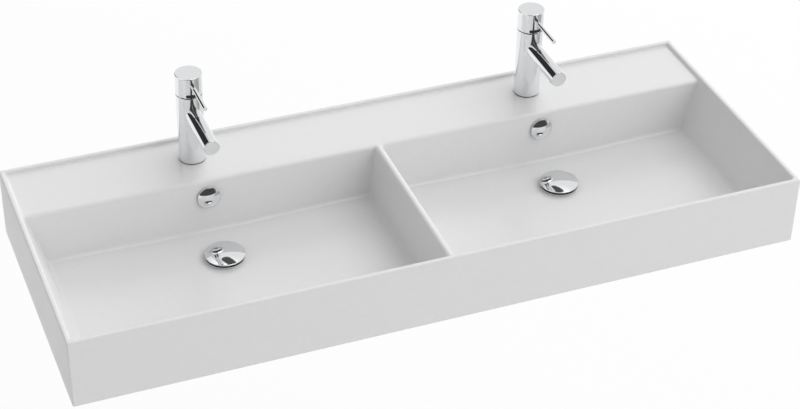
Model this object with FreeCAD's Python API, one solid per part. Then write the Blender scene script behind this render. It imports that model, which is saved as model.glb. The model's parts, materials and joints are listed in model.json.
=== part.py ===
import FreeCAD, Part
import math
import os

from FreeCAD import Placement, Rotation, Vector

# Ceramic double washbasin with two pin-lever taps, two wastes and two overflows, in millimetres.
# +X runs along the wall, -Y points into the room and +Z is up.
# The origin is on the wall plane, midway along it, level with the wall bolts.

# Basin, outside
basin_width = 1200.0
basin_depth = 460.0
basin_height = 120.0
outer_corner_radius = 3.0
rim_thickness = 8.0
rim_edge_radius = 2.5
base_edge_radius = 2.0

# Basin, deck and bowls
deck_drop = 6.0
deck_depth = 130.0
deck_thickness = 12.0
deck_edge_radius = 5.0
divider_width = 12.0
divider_edge_radius = 5.0
floor_height = 24.0
floor_fall = 4.0
floor_border = 30.0
floor_fillet_share = 0.9
side_lean = 32.0
front_lean = 30.0
back_lean = 6.0
divider_lean = 12.0
bowl_corner_radius = 5.0
inner_corner_share = 0.85

# Basin, underside
skirt_thickness = 10.0
shell_thickness = 10.0
back_wall_thickness = 12.0
boss_radius = 36.0
boss_length = 26.0
duct_width = 34.0
duct_depth = 12.0
duct_wall = 7.0
duct_headroom = 1.5

# Basin, holes
bolt_height = 60.0
bolt_spacing = 280.0
bolt_hole_radius = 7.0
tap_spacing = 592.0
tap_setback = 60.0
tap_hole_radius = 17.5
waste_spacing = 584.0
waste_setback = 215.0
waste_seat_width = 76.0
waste_hole_radius = 23.0
overflow_drop = 31.0
overflow_hole_radius = 12.0

# Tap body and spout
tap_radius = 22.0
tap_body_height = 123.5
tap_edge_radius = 0.5
base_seal_thickness = 1.5
base_seal_inset = 0.6
foot_depth = 4.0
foot_clearance = 0.3
spout_height = 94.0
spout_reach = 120.0
spout_radius = 13.0
spout_bore_radius = 9.0
spout_edge_radius = 0.8
spout_neck_radius = 10.5
end_cap_radius = 10.5
end_cap_thickness = 4.0
aerator_setback = 16.0
aerator_radius = 8.5
aerator_wall = 1.2
aerator_length = 9.0
aerator_proud = 1.0
screen_thickness = 3.0
screen_recess = 0.5

# Tap lever
lever_lift_angle = 20.0
head_gap = 2.0
head_height = 35.0
head_wall = 2.8
head_edge_radius = 1.2
head_cup_depth = 16.0
head_lift_clearance = 0.4
stem_socket_depth = 7.0
stem_end_gap = 0.3
lever_pin_radius = 3.5
lever_pin_drop = 12.0
lever_pin_reach = 93.0
lever_pin_root = 12.0
lever_pin_edge_radius = 0.8
grub_radius = 2.5
grub_length = 8.0
screw_cover_length = 3.0

# Tap cartridge
case_radius = 17.5
case_height = 40.0
case_collar_height = 5.0
case_base_height = 12.0
chamber_clearance = 1.2
nut_height = 11.0
nut_recess = 2.0
nut_thread_step = 0.5
nut_bore_clearance = 0.4
fixed_disc_height = 6.0
moving_disc_radius = 10.0
moving_disc_height = 8.0
cavity_clearance = 0.5
disc_film = 0.05
ball_arm = 11.0
ball_radius = 2.8
ball_sink = 1.0
ball_clearance = 0.15
carrier_radius = 11.9
carrier_rise = 7.0
carrier_flange_height = 1.5
carrier_lift = 0.4
stem_width = 6.0
stem_depth = 7.0
stem_neck_radius = 1.8
stem_neck_length = 4.0
pivot_pin_radius = 1.5
pivot_pin_length = 20.0
outlet_window_width = 10.0
outlet_window_height = 5.0
outlet_port_back = 8.5
port_radius = 3.0
port_seal_width = 1.6
port_seal_height = 1.5

# Tap fixings under the deck
inlet_radius = 4.5
inlet_depth = 14.0
inlet_spacing = 17.0
inlet_forward = 5.0
stud_radius = 4.0
stud_length = 60.0
stud_engagement = 12.0
stud_back = 10.0
clamp_radius = 27.0
clamp_mouth_width = 29.0
clamp_mouth_end = 1.5
deck_washer_thickness = 3.0
clamp_plate_thickness = 3.0
fixing_nut_flats = 13.0
fixing_nut_height = 8.0

# Waste
flange_radius = 31.5
flange_thickness = 2.0
flange_gasket_thickness = 1.0
flange_gasket_inset = 1.0
tail_radius = 20.95
tail_bore_radius = 17.5
tail_length = 72.0
tail_groove_gap = 1.0
tail_groove_width = 2.0
tail_groove_depth = 0.8
mouth_radius = 21.0
mouth_depth = 4.0
window_width = 18.0
window_margin = 1.0
spider_drop = 28.0
spider_width = 6.0
spider_height = 4.0
catch_radius = 5.0
catch_length = 18.0
catch_floor = 2.0
cap_radius = 32.5
cap_rim_height = 1.5
cap_rise = 4.0
cap_gap = 0.2
cap_lift = 2.8
cap_edge_radius = 0.6
cap_stem_radius = 3.0
cap_stem_gap = 0.5
cap_seal_width = 2.5
cap_seal_height = 2.8
cap_seal_lip_height = 1.2
cap_seal_lip_inset = 1.0
boss_gasket_thickness = 4.0
boss_gasket_margin = 4.0
lock_nut_flats = 56.0
lock_nut_height = 9.0

# Overflow
cover_radius = 19.0
cover_standoff = 3.5
cover_rim_height = 1.2
cover_rise = 6.8
cover_edge_radius = 0.5
cover_rib_width = 2.5
cover_rib_length = 8.0
clip_wall = 1.8
clip_length = 11.0
clip_collar_radius = 14.0
clip_collar_height = 1.2

# Fits and cutting
running_fit = 0.07
seat_fit = 0.05
overrun = 5.0

# Levels of the basin
bottom = -bolt_height
rim_top = bottom + basin_height
deck_top = rim_top - deck_drop
deck_under = deck_top - deck_thickness
floor_top = bottom + floor_height
seat_level = floor_top - floor_fall
floor_under = seat_level - shell_thickness
boss_bottom = seat_level - boss_length
duct_floor = boss_bottom + duct_wall
overflow_level = deck_top - overflow_drop

# The cove along the floor stays within the rounding of the bowl's upright corners
floor_fillet = bowl_corner_radius * floor_fillet_share
# The roundings where the deck and the divider meet the tub, kept within the rim's inner height
inner_corner_radius = (deck_drop - rim_edge_radius) * inner_corner_share

# Levels of a tap, above the deck
body_low = base_seal_thickness
body_top = body_low + tap_body_height
head_low = body_top + head_gap
head_top = head_low + head_height
cup_top = head_low + head_cup_depth
socket_top = cup_top + stem_socket_depth
lever_pin_level = head_top - lever_pin_drop
nut_top = body_top - nut_recess
case_top = nut_top - nut_height
case_low = case_top - case_height
cavity_low = case_low + case_base_height
fixed_disc_top = cavity_low + fixed_disc_height
moving_disc_low = fixed_disc_top + disc_film
moving_disc_top = moving_disc_low + moving_disc_height
ball_level = moving_disc_top - ball_sink
pivot_level = ball_level + ball_arm
carrier_low = moving_disc_top + carrier_lift
shoulder_level = carrier_low + carrier_flange_height + disc_film
carrier_top = case_top + carrier_rise

# Radii and travel inside a tap
chamber_radius = case_radius + chamber_clearance
nut_radius = chamber_radius + nut_thread_step
disc_stroke = ball_arm * math.sin(math.radians(lever_lift_angle))
cavity_radius = moving_disc_radius + disc_stroke + cavity_clearance
cup_radius = tap_radius - head_wall

# Levels of a waste, above its seat
flange_low = flange_gasket_thickness
flange_top = flange_low + flange_thickness
cap_low = flange_top + cap_gap + cap_seal_lip_height + cap_lift
spider_low = flange_top - spider_drop
spider_top = spider_low + spider_height
tail_low = flange_low - tail_length
gasket_low = -boss_length - boss_gasket_thickness
lock_nut_low = gasket_low - lock_nut_height
groove_high = lock_nut_low - tail_groove_gap
duct_floor_below_seat = duct_floor - seat_level
duct_roof_below_seat = floor_under - seat_level

up = Vector(0, 0, 1)
forward = Vector(0, -1, 0)
backward = Vector(0, 1, 0)
sideways = Vector(1, 0, 0)


def box(x_low, x_high, y_low, y_high, z_low, z_high):
    size = (x_high - x_low, y_high - y_low, z_high - z_low)
    return Part.makeBox(*size, Vector(x_low, y_low, z_low))


def upright(radius, low, high, x=0, y=0):
    return Part.makeCylinder(radius, high - low, Vector(x, y, low), up)


def rod(radius, start, direction, length):
    return Part.makeCylinder(radius, length, start, direction)


def ring(outer, inner, low, high, x=0, y=0):
    hole = upright(inner, low - overrun, high + overrun, x, y)
    return upright(outer, low, high, x, y).cut(hole)


def hexagon(flats, low, high, x=0, y=0):
    reach = flats / math.sqrt(3)
    corners = [Vector(x, y, low) + Rotation(up, 60 * turn) * Vector(reach, 0, 0) for turn in range(7)]
    return Part.Face(Part.makePolygon(corners)).extrude(up * (high - low))


def rectangle(x_low, x_high, y_low, y_high, z):
    corners = [(x_low, y_low), (x_high, y_low), (x_high, y_high), (x_low, y_high)]
    return [Vector(x, y, z) for x, y in corners]


# A flat-sided solid between two level rectangles.
def frustum(low, high):
    outlines = [low[::-1], high]
    for index in range(4):
        after = (index + 1) % 4
        outlines.append([low[index], low[after], high[after], high[index]])
    faces = [Part.Face(Part.makePolygon(outline + outline[:1])) for outline in outlines]
    return Part.Solid(Part.Shell(faces))


# A flat face from corner points, each with the radius that rounds it.
def rounded_face(corners):
    stretches = []
    arcs = []
    for index, (corner, radius) in enumerate(corners):
        before = (corners[index - 1][0] - corner).normalize()
        after = (corners[(index + 1) % len(corners)][0] - corner).normalize()
        if radius == 0:
            stretches.append((corner, corner))
            arcs.append(None)
            continue
        half_angle = before.getAngle(after) / 2
        reach = radius / math.tan(half_angle)
        bisector = (before + after).normalize()
        nearest = corner + bisector * (radius / math.sin(half_angle) - radius)
        enter = corner + before * reach
        leave = corner + after * reach
        stretches.append((enter, leave))
        arcs.append(Part.Arc(enter, nearest, leave).toShape())
    edges = []
    for index, (enter, leave) in enumerate(stretches):
        if arcs[index]:
            edges.append(arcs[index])
        edges.append(Part.LineSegment(leave, stretches[(index + 1) % len(stretches)][0]).toShape())
    return Part.Face(Part.Wire(edges))


# A round plate with a flat underside at low, an upright rim and a domed top.
def dome(radius, low, rim, rise, edge_radius):
    sphere_radius = (radius ** 2 + rise ** 2) / (2 * rise)
    plate = upright(radius, low, low + rim + rise)
    ball = Part.makeSphere(sphere_radius, Vector(0, 0, low + rim + rise - sphere_radius))
    domed = plate.common(ball)
    edges = [edge for edge in domed.Edges if abs(edge.BoundBox.ZMin - low - rim) < edge_radius
             and edge.BoundBox.ZLength < edge_radius]
    return domed.makeFillet(edge_radius, edges)


def edges_at_level(shape, level):
    tolerance = seat_fit
    return [edge for edge in shape.Edges
            if abs(edge.BoundBox.ZMin - level) < tolerance and abs(edge.BoundBox.ZMax - level) < tolerance]


# The open inside of the whole tub at one level, leaning in towards the floor.
def tub_rectangle(level, growth):
    share = (rim_top - level) / (rim_top - floor_top)
    half = basin_width / 2 - rim_thickness - side_lean * share + growth
    front = -basin_depth + rim_thickness + front_lean * share - growth
    return rectangle(-half, half, front, -rim_thickness, level)


def make_outside():
    block = box(-basin_width / 2, basin_width / 2, -basin_depth, 0, bottom, rim_top)
    upright_edges = [edge for edge in block.Edges if edge.BoundBox.ZLength > basin_height / 2]
    block = block.makeFillet(outer_corner_radius, upright_edges)
    block = block.makeFillet(rim_edge_radius, edges_at_level(block, rim_top))
    return block.makeFillet(base_edge_radius, edges_at_level(block, bottom))


def make_tub():
    tub = frustum(tub_rectangle(floor_top, 0), tub_rectangle(rim_top + overrun, 0))
    behind = -basin_depth / 2
    leaning = [edge for edge in tub.Edges
               if edge.BoundBox.ZLength > floor_height and edge.BoundBox.YMax < behind]
    tub = tub.makeFillet(bowl_corner_radius, leaning)
    coved = [edge for edge in edges_at_level(tub, floor_top)
             if edge.BoundBox.YMin < -rim_thickness - overrun]
    return tub.makeFillet(floor_fillet, coved)


# The deck that fills the back of the tub, its front edge rounded and its foot coved into the floor.
def make_deck():
    face_foot = -deck_depth - back_lean
    toe = face_foot - 2 * floor_fillet
    under = floor_top - overrun
    half = basin_width / 2
    corners = [
        (Vector(-half, overrun, under), 0),
        (Vector(-half, overrun, deck_top), 0),
        (Vector(-half, -deck_depth, deck_top), deck_edge_radius),
        (Vector(-half, face_foot, floor_top), floor_fillet),
        (Vector(-half, toe, floor_top), 0),
        (Vector(-half, toe, under), 0),
    ]
    return rounded_face(corners).extrude(sideways * basin_width)


# The wall between the bowls, rounded along its top and coved into both floors.
def make_divider():
    top_half = divider_width / 2
    foot_half = top_half + divider_lean
    toe_half = foot_half + 2 * floor_fillet
    under = floor_top - overrun
    right = [
        (Vector(toe_half, 0, under), 0),
        (Vector(toe_half, 0, floor_top), 0),
        (Vector(foot_half, 0, floor_top), floor_fillet),
        (Vector(top_half, 0, deck_top), divider_edge_radius),
    ]
    left = [(Vector(-corner.x, 0, corner.z), radius) for corner, radius in reversed(right)]
    return rounded_face(right + left).extrude(forward * basin_depth)


# The gentle fall of one bowl's floor towards its flat waste seat.
def make_floor_fall(sign):
    inner = divider_width / 2 + divider_lean + floor_border
    outer = basin_width / 2 - rim_thickness - side_lean - floor_border
    front = -basin_depth + rim_thickness + front_lean + floor_border
    back = -deck_depth - back_lean - floor_border
    x_low, x_high = sorted((sign * inner, sign * outer))
    centre_x = sign * waste_spacing / 2
    half_seat = waste_seat_width / 2
    seat = rectangle(centre_x - half_seat, centre_x + half_seat,
                     -waste_setback - half_seat, -waste_setback + half_seat, seat_level)
    return frustum(seat, rectangle(x_low, x_high, front, back, floor_top))


# The hollow between the skirt and the bowls, and the one under the deck.
def make_hollows():
    half = basin_width / 2 - skirt_thickness
    front = -basin_depth + skirt_thickness
    wall_back = -deck_depth + shell_thickness
    around = box(-half, half, front, wall_back, bottom - overrun, rim_top)
    shell = frustum(tub_rectangle(floor_under, shell_thickness),
                    tub_rectangle(rim_top + overrun, shell_thickness))
    under_deck = box(-half, half, wall_back, -back_wall_thickness, bottom - overrun, deck_under)
    return around.cut(shell).fuse(under_deck)


# The waste boss and the walls of the overflow duct of one bowl, and the space inside the duct.
def make_boss_and_duct(sign):
    x = sign * waste_spacing / 2
    half_inside = duct_width / 2
    half_outside = half_inside + duct_wall
    wall_back = -deck_depth + shell_thickness
    duct_back = wall_back + duct_depth
    boss = upright(boss_radius, boss_bottom, floor_under, x, -waste_setback)
    riser = box(x - half_outside, x + half_outside, wall_back, duct_back + duct_wall, boss_bottom, deck_under)
    runner = box(x - half_outside, x + half_outside, -waste_setback, wall_back, boss_bottom, floor_under)
    solid = boss.fuse([riser, runner])
    duct_top = overflow_level + overflow_hole_radius + duct_headroom
    shaft = box(x - half_inside, x + half_inside, wall_back, duct_back, duct_floor, duct_top)
    channel = box(x - half_inside, x + half_inside, -waste_setback, duct_back, duct_floor, floor_under)
    return solid, shaft.fuse(channel)


# Where an overflow sits on the leaning back wall: its local +Z is the wall's outward normal.
def overflow_placement(sign):
    wall_height = deck_top - floor_top
    lean_angle = math.degrees(math.atan2(back_lean, wall_height))
    face_y = -deck_depth - back_lean * overflow_drop / wall_height
    origin = Vector(sign * waste_spacing / 2, face_y, overflow_level)
    return Placement(origin, Rotation(sideways, 90 - lean_angle))


def make_basin():
    cavity = make_tub().cut(make_deck()).cut(make_divider())
    wall_height = deck_top - floor_top
    corners = [edge for edge in cavity.Edges
               if edge.BoundBox.ZLength > wall_height / 2 and edge.BoundBox.ZMax < deck_top]
    cavity = cavity.makeFillet(inner_corner_radius, corners)
    basin = make_outside().cut(cavity)
    half_inside = basin_width / 2 - rim_edge_radius * 2
    inner_rim = [edge for edge in edges_at_level(basin, rim_top)
                 if edge.BoundBox.YMax < -rim_edge_radius * 2
                 and edge.BoundBox.YMin > -basin_depth + rim_edge_radius * 2
                 and max(abs(edge.BoundBox.XMin), abs(edge.BoundBox.XMax)) < half_inside]
    basin = basin.makeFillet(rim_edge_radius, inner_rim)
    basin = basin.cut(make_hollows())
    for sign in (-1, 1):
        solid, space = make_boss_and_duct(sign)
        waste_x = sign * waste_spacing / 2
        tap_x = sign * tap_spacing / 2
        overflow = overflow_placement(sign)
        wall_through = shell_thickness + back_lean + duct_depth / 2
        holes = [
            space,
            make_floor_fall(sign),
            upright(waste_hole_radius, boss_bottom - overrun, floor_top, waste_x, -waste_setback),
            upright(tap_hole_radius, deck_under - overrun, deck_top + overrun, tap_x, -tap_setback),
            upright(overflow_hole_radius, -wall_through, overrun).transformGeometry(overflow.toMatrix()),
        ]
        for end in (-1, 1):
            bolt_x = tap_x + end * bolt_spacing / 2
            start = Vector(bolt_x, overrun, 0)
            holes.append(rod(bolt_hole_radius, start, forward, back_wall_thickness + 2 * overrun))
        basin = basin.fuse(solid)
        basin = basin.cut(holes)
    return basin.removeSplitter()


def make_tap_body():
    body = upright(tap_radius, body_low, body_top)
    body = body.makeFillet(tap_edge_radius, edges_at_level(body, body_low) + edges_at_level(body, body_top))
    body = body.fuse(upright(tap_hole_radius - foot_clearance, -foot_depth, body_low))
    chamber = upright(chamber_radius, case_low, case_top)
    nut_thread = upright(nut_radius + seat_fit, case_top, body_top + overrun)
    spout_hole = rod(spout_neck_radius + seat_fit, Vector(0, 0, spout_height), forward, tap_radius + overrun)
    stud_top = stud_engagement - foot_depth
    stud_hole = upright(stud_radius + seat_fit, -foot_depth - overrun, stud_top, 0, stud_back)
    cuts = [chamber, nut_thread, spout_hole, stud_hole]
    for x in (-inlet_spacing / 2, inlet_spacing / 2):
        inlet_top = inlet_depth - foot_depth
        cuts.append(upright(inlet_radius, -foot_depth - overrun, inlet_top, x, -inlet_forward))
        cuts.append(upright(port_radius, inlet_top, case_low, x, -inlet_forward))
    return body.cut(cuts).removeSplitter()


def make_spout():
    start = Vector(0, 0, spout_height)
    tube = rod(spout_radius, start, forward, spout_reach)
    end_rim = [edge for edge in tube.Edges if edge.BoundBox.YMax < overrun - spout_reach]
    tube = tube.makeFillet(spout_edge_radius, end_rim)
    tube = tube.cut(upright(tap_radius, body_low, body_top))
    neck_start = Vector(0, -chamber_radius, spout_height)
    neck = rod(spout_neck_radius, neck_start, forward, tap_radius - chamber_radius + overrun)
    bore = rod(spout_bore_radius, start, forward, spout_reach)
    cap_start = Vector(0, end_cap_thickness - spout_reach, spout_height)
    cap_seat = rod(end_cap_radius + seat_fit, cap_start, forward, end_cap_thickness + overrun)
    outlet_y = aerator_setback - spout_reach
    outlet_low = spout_height - spout_radius - overrun
    outlet = upright(aerator_radius + seat_fit, outlet_low, spout_height, 0, outlet_y)
    tube = tube.fuse(neck).cut([bore, cap_seat, outlet])
    return tube.cut(upright(chamber_radius, case_low, case_top)).removeSplitter()


def make_end_cap():
    start = Vector(0, end_cap_thickness - spout_reach, spout_height)
    return rod(end_cap_radius, start, forward, end_cap_thickness)


def make_aerator_shell():
    low = spout_height - spout_radius - aerator_proud
    y = aerator_setback - spout_reach
    return ring(aerator_radius, aerator_radius - aerator_wall, low, low + aerator_length, 0, y)


def make_aerator_screen():
    low = spout_height - spout_radius - aerator_proud + screen_recess
    y = aerator_setback - spout_reach
    return upright(aerator_radius - aerator_wall - seat_fit, low, low + screen_thickness, 0, y)


def make_lever_head():
    head = upright(tap_radius, head_low, head_top)
    head = head.makeFillet(head_edge_radius, edges_at_level(head, head_top))
    cup = upright(cup_radius, head_low - overrun, cup_top)
    half_width = stem_width / 2 + seat_fit
    half_depth = stem_depth / 2 + seat_fit
    socket = box(-half_width, half_width, -half_depth, half_depth, cup_top - overrun, socket_top)
    pin_start = Vector(0, lever_pin_root - tap_radius, lever_pin_level)
    pin_hole = rod(lever_pin_radius + seat_fit, pin_start, forward, lever_pin_root + overrun)
    grub_start = Vector(0, 0, (cup_top + socket_top) / 2)
    grub_hole = rod(grub_radius + seat_fit, grub_start, backward, tap_radius + overrun)
    # The underside slopes up to the back, so that the lifted head clears the body.
    reach = 2 * head_top
    body_space = box(-reach, reach, -reach, reach, -reach, body_top + head_lift_clearance)
    body_space.rotate(Vector(0, 0, pivot_level), sideways, lever_lift_angle)
    return head.cut([cup, socket, pin_hole, grub_hole, body_space])


def make_lever_pin():
    length = lever_pin_reach - tap_radius + lever_pin_root
    pin = rod(lever_pin_radius, Vector(0, lever_pin_root - tap_radius, lever_pin_level), forward, length)
    tip = [edge for edge in pin.Edges if edge.BoundBox.YMax < overrun - lever_pin_reach]
    return pin.makeFillet(lever_pin_edge_radius, tip)


def make_grub_screw():
    start = Vector(0, stem_depth / 2 + seat_fit, (cup_top + socket_top) / 2)
    return rod(grub_radius, start, backward, grub_length)


def make_screw_cover():
    start = Vector(0, tap_radius - screw_cover_length, (cup_top + socket_top) / 2)
    plug = rod(grub_radius, start, backward, screw_cover_length)
    return plug.common(upright(tap_radius, head_low, head_top))


def make_lever_stem():
    half_width = stem_width / 2
    half_depth = stem_depth / 2
    neck_top = ball_level + stem_neck_length
    bar = box(-half_width, half_width, -half_depth, half_depth, neck_top, socket_top - stem_end_gap)
    neck = upright(stem_neck_radius, ball_level, neck_top)
    ball = Part.makeSphere(ball_radius, Vector(0, 0, ball_level))
    pivot_start = Vector(-half_width - overrun, 0, pivot_level)
    pivot = rod(pivot_pin_radius + running_fit, pivot_start, sideways, stem_width + 2 * overrun)
    return bar.fuse([neck, ball]).cut(pivot).removeSplitter()


def make_pivot_pin():
    return rod(pivot_pin_radius, Vector(-pivot_pin_length / 2, 0, pivot_level), sideways, pivot_pin_length)


def make_carrier():
    carrier = upright(carrier_radius, carrier_low, carrier_top)
    collar_top = carrier_low + carrier_flange_height
    carrier = carrier.fuse(upright(cavity_radius - cavity_clearance, carrier_low, collar_top))
    lean = math.tan(math.radians(lever_lift_angle))
    swing = (carrier_top - pivot_level) * lean
    half_depth = stem_depth / 2 / math.cos(math.radians(lever_lift_angle)) + swing + cavity_clearance
    half_width = stem_width / 2 + running_fit
    slot = box(-half_width, half_width, -half_depth, half_depth, carrier_low - overrun, carrier_top + overrun)
    pin_start = Vector(-carrier_radius - overrun, 0, pivot_level)
    pin_length = pivot_pin_length / 2 + seat_fit + carrier_radius + overrun
    pin_hole = rod(pivot_pin_radius + seat_fit, pin_start, sideways, pin_length)
    return carrier.cut([slot, pin_hole])


def port_places():
    return [(-inlet_spacing / 2, -inlet_forward), (inlet_spacing / 2, -inlet_forward)]


def make_case():
    case = upright(case_radius, case_low, case_top)
    case = case.fuse(upright(chamber_radius - seat_fit, case_top - case_collar_height, case_top))
    half_window = outlet_window_width / 2
    window_low = cavity_low - outlet_window_height - port_seal_height
    cuts = [
        upright(cavity_radius, cavity_low, shoulder_level),
        upright(carrier_radius + running_fit, shoulder_level, case_top + overrun),
        upright(port_radius, window_low, cavity_low, 0, outlet_port_back),
        box(-half_window, half_window, outlet_port_back, case_radius + overrun,
            window_low, window_low + outlet_window_height),
    ]
    seal_radius = port_radius + port_seal_width
    for x, y in port_places():
        cuts.append(upright(port_radius, case_low - overrun, cavity_low, x, y))
        cuts.append(upright(seal_radius, case_low - overrun, case_low + port_seal_height, x, y))
    return case.cut(cuts).removeSplitter()


def make_port_seals():
    seal_radius = port_radius + port_seal_width - seat_fit
    return [ring(seal_radius, port_radius, case_low, case_low + port_seal_height, x, y)
            for x, y in port_places()]


def make_fixed_disc():
    disc = upright(cavity_radius - seat_fit, cavity_low, fixed_disc_top)
    places = port_places() + [(0, outlet_port_back)]
    holes = [upright(port_radius, cavity_low - overrun, fixed_disc_top + overrun, x, y) for x, y in places]
    return disc.cut(holes)


def make_moving_disc():
    disc = upright(moving_disc_radius, moving_disc_low, moving_disc_top)
    socket_floor = ball_level - ball_radius - ball_clearance
    return disc.cut(upright(ball_radius + ball_clearance, socket_floor, moving_disc_top + overrun))


def make_cartridge_nut():
    return ring(nut_radius, carrier_radius + nut_bore_clearance, case_top, nut_top)


def make_base_seal():
    return ring(tap_radius - base_seal_inset, tap_hole_radius, 0, base_seal_thickness)


def make_clamp(low, high):
    plate = upright(clamp_radius, low, high)
    half_mouth = clamp_mouth_width / 2
    mouth_front = -clamp_radius - overrun
    mouth = box(-half_mouth, half_mouth, mouth_front, clamp_mouth_end, low - overrun, high + overrun)
    return plate.cut([mouth, upright(stud_radius + seat_fit, low - overrun, high + overrun, 0, stud_back)])


def make_deck_washer():
    return make_clamp(-deck_thickness - deck_washer_thickness, -deck_thickness)


def make_clamp_plate():
    high = -deck_thickness - deck_washer_thickness
    return make_clamp(high - clamp_plate_thickness, high)


def make_fixing_stud():
    high = stud_engagement - foot_depth
    return upright(stud_radius, high - stud_length, high, 0, stud_back)


def make_fixing_nut():
    high = -deck_thickness - deck_washer_thickness - clamp_plate_thickness
    nut = hexagon(fixing_nut_flats, high - fixing_nut_height, high, 0, stud_back)
    hole_low = high - fixing_nut_height - overrun
    return nut.cut(upright(stud_radius + seat_fit, hole_low, high + overrun, 0, stud_back))


def make_waste_body():
    flange = upright(flange_radius, flange_low, flange_top)
    tail = upright(tail_radius, tail_low, flange_low)
    mouth_foot = Vector(0, 0, flange_top - mouth_depth)
    mouth = Part.makeCone(tail_bore_radius, mouth_radius, mouth_depth, mouth_foot, up)
    bore = upright(tail_bore_radius, tail_low - overrun, flange_top + overrun)
    half_window = window_width / 2
    windows = box(-half_window, half_window, -tail_radius - overrun, tail_radius + overrun,
                  duct_floor_below_seat + window_margin, duct_roof_below_seat - window_margin)
    # The groove parts the free thread from the stretch that the lock nut holds.
    groove_low = groove_high - tail_groove_width
    groove = ring(tail_radius + overrun, tail_radius - tail_groove_depth, groove_low, groove_high)
    body = flange.fuse(tail).cut([mouth, bore, windows, groove])
    half_bar = spider_width / 2
    bar = box(-tail_radius, tail_radius, -half_bar, half_bar, spider_low, spider_top)
    spider = bar.common(upright(tail_bore_radius, spider_low, spider_top))
    return body.fuse([spider, upright(catch_radius, spider_low, spider_top)]).removeSplitter()


def make_flange_gasket():
    return ring(flange_radius - flange_gasket_inset, waste_hole_radius, 0, flange_gasket_thickness)


def make_boss_gasket():
    return ring(boss_radius - boss_gasket_margin, tail_radius + seat_fit, gasket_low, -boss_length)


def make_lock_nut():
    nut = hexagon(lock_nut_flats, lock_nut_low, gasket_low)
    return nut.cut(upright(tail_radius + seat_fit, lock_nut_low - overrun, gasket_low + overrun))


def make_plug_catch():
    barrel = upright(catch_radius, spider_top, spider_top + catch_length)
    return barrel.cut(upright(cap_stem_radius + running_fit, spider_top + catch_floor, cap_low))


def make_waste_cap():
    cap = dome(cap_radius, cap_low, cap_rim_height, cap_rise, cap_edge_radius)
    stem_low = spider_top + catch_floor + cap_stem_gap + cap_lift
    return cap.fuse(upright(cap_stem_radius, stem_low, cap_low)).removeSplitter()


def make_cap_seal():
    inner = tail_bore_radius - cap_seal_width
    lip = ring(cap_radius - cap_seal_lip_inset, inner, cap_low - cap_seal_lip_height, cap_low)
    return lip.fuse(ring(tail_bore_radius, inner, cap_low - cap_seal_height, cap_low)).removeSplitter()


def make_overflow_cover():
    cover = dome(cover_radius, cover_standoff, cover_rim_height, cover_rise, cover_edge_radius)
    inside_radius = overflow_hole_radius - seat_fit - clip_wall - seat_fit
    inside = upright(inside_radius, -cover_rib_length, cover_standoff)
    half = cover_rib_width / 2
    across = box(-cover_radius, cover_radius, -half, half, -cover_rib_length, cover_standoff)
    along = box(-half, half, -cover_radius, cover_radius, -cover_rib_length, cover_standoff)
    return cover.fuse(across.fuse(along).common(inside)).removeSplitter()


def make_overflow_clip():
    sleeve_radius = overflow_hole_radius - seat_fit
    sleeve = upright(sleeve_radius, -clip_length, 0).fuse(upright(clip_collar_radius, 0, clip_collar_height))
    bore = upright(sleeve_radius - clip_wall, -clip_length - overrun, clip_collar_height + overrun)
    return sleeve.cut(bore)


tap_makers = {
    "tap_body": make_tap_body,
    "spout": make_spout,
    "spout_end_cap": make_end_cap,
    "aerator_shell": make_aerator_shell,
    "aerator_screen": make_aerator_screen,
    "lever_head": make_lever_head,
    "lever_pin": make_lever_pin,
    "grub_screw": make_grub_screw,
    "screw_cover": make_screw_cover,
    "lever_stem": make_lever_stem,
    "stem_pivot_pin": make_pivot_pin,
    "swivel_carrier": make_carrier,
    "cartridge_case": make_case,
    "fixed_disc": make_fixed_disc,
    "moving_disc": make_moving_disc,
    "cartridge_nut": make_cartridge_nut,
    "base_seal": make_base_seal,
    "deck_washer": make_deck_washer,
    "clamp_plate": make_clamp_plate,
}
waste_makers = {
    "waste_body": make_waste_body,
    "flange_gasket": make_flange_gasket,
    "boss_gasket": make_boss_gasket,
    "lock_nut": make_lock_nut,
    "plug_catch": make_plug_catch,
    "waste_cap": make_waste_cap,
    "cap_seal": make_cap_seal,
}
overflow_makers = {
    "overflow_cover": make_overflow_cover,
    "overflow_clip": make_overflow_clip,
}


def placed(shape, placement):
    copy = shape.copy()
    copy.Placement = placement.multiply(copy.Placement)
    return copy


nodes = {"basin": make_basin()}
groups = {"port_seals": [], "fixing_studs": [], "fixing_nuts": []}
for side, sign in (("left", -1), ("right", 1)):
    tap_place = Placement(Vector(sign * tap_spacing / 2, -tap_setback, deck_top), Rotation())
    waste_place = Placement(Vector(sign * waste_spacing / 2, -waste_setback, seat_level), Rotation())
    for makers, place in ((tap_makers, tap_place), (waste_makers, waste_place),
                          (overflow_makers, overflow_placement(sign))):
        for name, make in makers.items():
            nodes[f"{side}_{name}"] = placed(make(), place)
    groups["port_seals"] += [placed(seal, tap_place) for seal in make_port_seals()]
    groups["fixing_studs"].append(placed(make_fixing_stud(), tap_place))
    groups["fixing_nuts"].append(placed(make_fixing_nut(), tap_place))
for name, solids in groups.items():
    nodes[name] = Part.makeCompound(solids)

os.makedirs("parts", exist_ok=True)
for name, shape in nodes.items():
    shape.exportStep(f"parts/{name}.step")
    state = "valid" if shape.isValid() else "NOT VALID"
    print(name, len(shape.Solids), "solid", round(shape.Volume), "mm3", state)
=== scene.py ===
import json
import math

import bmesh
import bpy
import numpy as np
from mathutils import Matrix, Vector


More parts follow.
